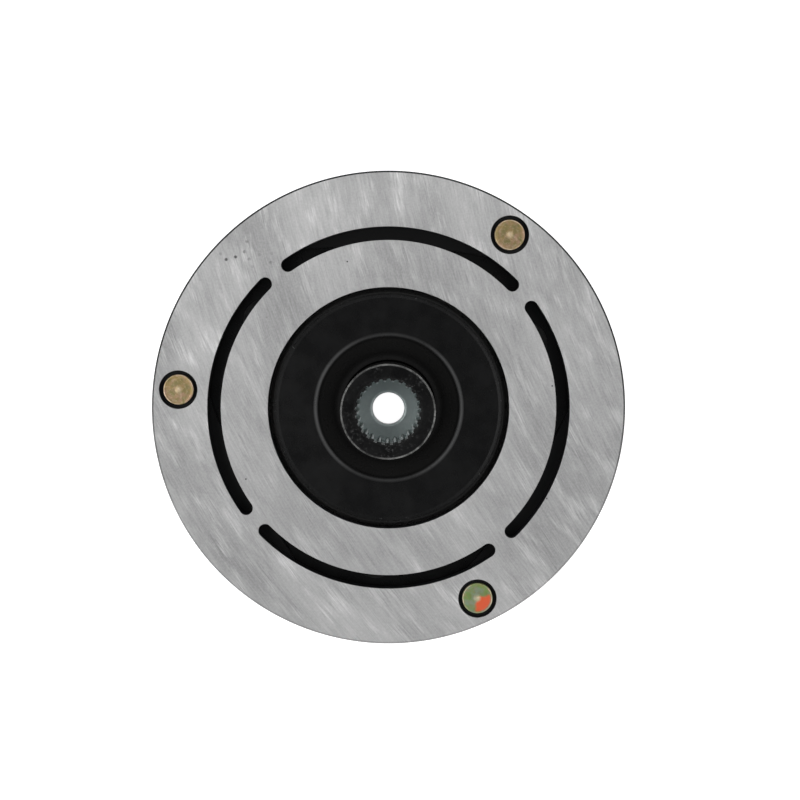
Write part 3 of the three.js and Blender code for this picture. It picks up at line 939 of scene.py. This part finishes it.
def rubber_stop(number, material):
    """A moulded stop, with a flange on each side of the plate and a dimple underneath."""
    node = f"rubber_stop_{number}"
    low, high = corners_of(node)
    neck_r = STOP_HOLE_R - 0.3
    flange_r = (high.x - low.x) / 2
    profile = filleted([
        (0, high.z),
        (3.4, high.z, 0.6),
        (flange_r - 0.2, PLATE_TOP_Z + 1.1, 0.6),
        (flange_r, PLATE_TOP_Z + TOUCH, 0.2),
        (neck_r, PLATE_TOP_Z + TOUCH),
        (neck_r, PLATE_Z - TOUCH),
        (flange_r - 0.25, PLATE_Z - TOUCH, 0.3),
        (4.3, low.z, 1.0),
        (1.6, low.z, 0.15),
        (1.3, low.z + 0.35, 0.15),
        (0, low.z + 0.35),
    ])
    stand_in(node, [turned(profile)], material, place=centre_of(node))


def leaf_half_width(place, length):
    """Half a leaf's width at a place along it: widest at both ends."""
    share = min(1, min(place, length - place) / (LEAF_FLARE * length))
    return LEAF_WAIST + (LEAF_END_R - LEAF_WAIST) * 0.5 * (1 + math.cos(math.pi * share))


def leaf_outline(start, end):
    """A leaf's outline: round ends and a narrower, straight-sided middle."""
    length = (end - start).length
    along = (end - start) / length
    side = Vector((-along.y, along.x))
    heading = math.degrees(math.atan2(along.y, along.x))
    steps = 40
    places = [length * i / steps for i in range(1, steps)]
    edge = [(place, leaf_half_width(place, length)) for place in places]
    lower = [tuple(start + along * place - side * half) for place, half in edge]
    upper = [tuple(start + along * place + side * half) for place, half in reversed(edge)]
    return (
        arc(start, LEAF_END_R, heading + 90, heading + 270, 24)
        + lower
        + arc(end, LEAF_END_R, heading - 90, heading + 90, 24)
        + upper
    )


def leaf_spring(layer, number, material):
    """A leaf from a hub rivet to an armature rivet. It is given bend points at its two round ends, and its
    place is baked into its mesh.
    """
    node = f"leaf_spring_{layer}_{number}"
    low, high = corners_of(node)
    rivets = (centre_of(f"hub_rivet_{number}"), centre_of(f"armature_rivet_{number}"))
    held, moved = map(Vector, rivets)
    hole_edge = plain_edge(high.z, low.z, 0.07, 1)
    walls = [wall(leaf_outline(held, moved), plain_edge(high.z, low.z, 0.07, -1))]
    walls += [wall(circle(SHANK_HOLE_R, 48, rivet), hole_edge) for rivet in rivets]
    step = (moved - held).normalized() * LEAF_END_R
    bends = [Vector((*end, low.z)) * MM for end in (held + step, moved - step)]
    stand_in(node, walls, material, bends=bends)


# ---- the studio ----

FLOOR_SIZE = 4000
FLOOR_GAP = 0.1  # how far the floor lies under the object
FLOOR_GREY = (0.5, 0.5, 0.5, 1)
WHITE = (1, 1, 1, 1)
# Each soft light: its place along the picture's right and up, then its height, width, depth and radiance.
LIGHTS = {
    "left_panel": (-290, 0, 540, 240, 600, 2.95),
    "right_panel": (290, 0, 540, 240, 600, 2.05),
    "far_panel": (0, 330, 540, 360, 240, 1.3),
    "near_panel": (0, -330, 540, 360, 240, 1.5),
}
SIDES = 8  # a ring of lower lights all round the object
SIDE_DISTANCE = 800
SIDE_LIGHT = (300, 600, 500, 0.85)  # height, width, depth and radiance
ROOM = (0.94, 0.97, 1.0, 1)
ROOM_STRENGTH = 0.18


def make_floor():
    """A plain floor that glows evenly, like a light table. It is clear from below."""
    half = FLOOR_SIZE * MM / 2
    data = bpy.data.meshes.new("floor")
    corners = [(-half, -half, 0), (half, -half, 0), (half, half, 0), (-half, half, 0)]
    data.from_pydata(corners, [], [(0, 1, 2, 3)])
    floor = bpy.data.objects.new("floor", data)
    bpy.context.scene.collection.objects.link(floor)
    floor.location.z = -FLOOR_GAP * MM
    look = Look("pale_floor", Roughness=0.8, Emission_Strength=1.0)
    look.set("Base Color", FLOOR_GREY)
    look.set("Emission Color", WHITE)
    clear = look.add("BsdfTransparent")
    behind = look.add("NewGeometry", "Backfacing")
    surface = look.add("MixShader", inputs={0: behind, 1: look.shader.outputs[0], 2: clear})
    output = look.tree.nodes["Material Output"]
    look.tree.links.new(surface, output.inputs["Surface"])
    data.materials.append(look.material)


def make_light(name, right, up, height, width, depth, radiance):
    data = bpy.data.lights.new(name, "AREA")
    data.shape = "RECTANGLE"
    data.size = width * MM
    data.size_y = depth * MM
    data.energy = radiance * math.pi * data.size * data.size_y
    light = bpy.data.objects.new(name, data)
    bpy.context.scene.collection.objects.link(light)
    place = in_view(right, up) + Vector((0, 0, height))
    light.location = place * MM
    light.rotation_mode = "QUATERNION"
    light.rotation_quaternion = looking_back(place)


def make_lights():
    for name, light in LIGHTS.items():
        make_light(name, *light)
    for side in range(SIDES):
        make_light(f"side_{side + 1}", *polar(SIDE_DISTANCE, 360 * side / SIDES), *SIDE_LIGHT)


def make_room():
    """An even pale surrounding, white where it is seen directly."""
    world = bpy.data.worlds.new("room")
    bpy.context.scene.world = world
    world.use_nodes = True
    tree = world.node_tree
    lit = tree.nodes["Background"]
    lit.inputs["Color"].default_value = ROOM
    lit.inputs["Strength"].default_value = ROOM_STRENGTH
    seen = tree.nodes.new("ShaderNodeBackground")
    seen.inputs["Color"].default_value = WHITE
    path = tree.nodes.new("ShaderNodeLightPath")
    mix = tree.nodes.new("ShaderNodeMixShader")
    tree.links.new(path.outputs["Is Camera Ray"], mix.inputs[0])
    tree.links.new(lit.outputs[0], mix.inputs[1])
    tree.links.new(seen.outputs[0], mix.inputs[2])
    tree.links.new(mix.outputs[0], tree.nodes["World Output"].inputs["Surface"])


# ---- everything together ----


def make_object():
    yellow = yellow_zinc()
    marked = yellow_zinc("yellow_chromate_with_mark", fitters_mark)
    spring = spring_steel()
    rubber = stop_rubber()
    armature_plate(ground_steel())
    hub_plate(black_plate())
    hub_boss(black_boss())
    for i in SETS:
        if i == MARKED_RIVET:
            armature_rivet(i, marked, 0)
        else:
            armature_rivet(i, yellow, RIVET_TURN * i)
        collar(f"armature_spacer_{i}", yellow)
        collar(f"armature_washer_{i}", yellow)
        hub_rivet(i, yellow)
        rubber_stop(i, rubber)
        for layer in ("upper", "lower"):
            leaf_spring(layer, i, spring)


make_camera()
make_object()
make_floor()
make_lights()
make_room()
bpy.context.scene.view_settings.view_transform = "Standard"
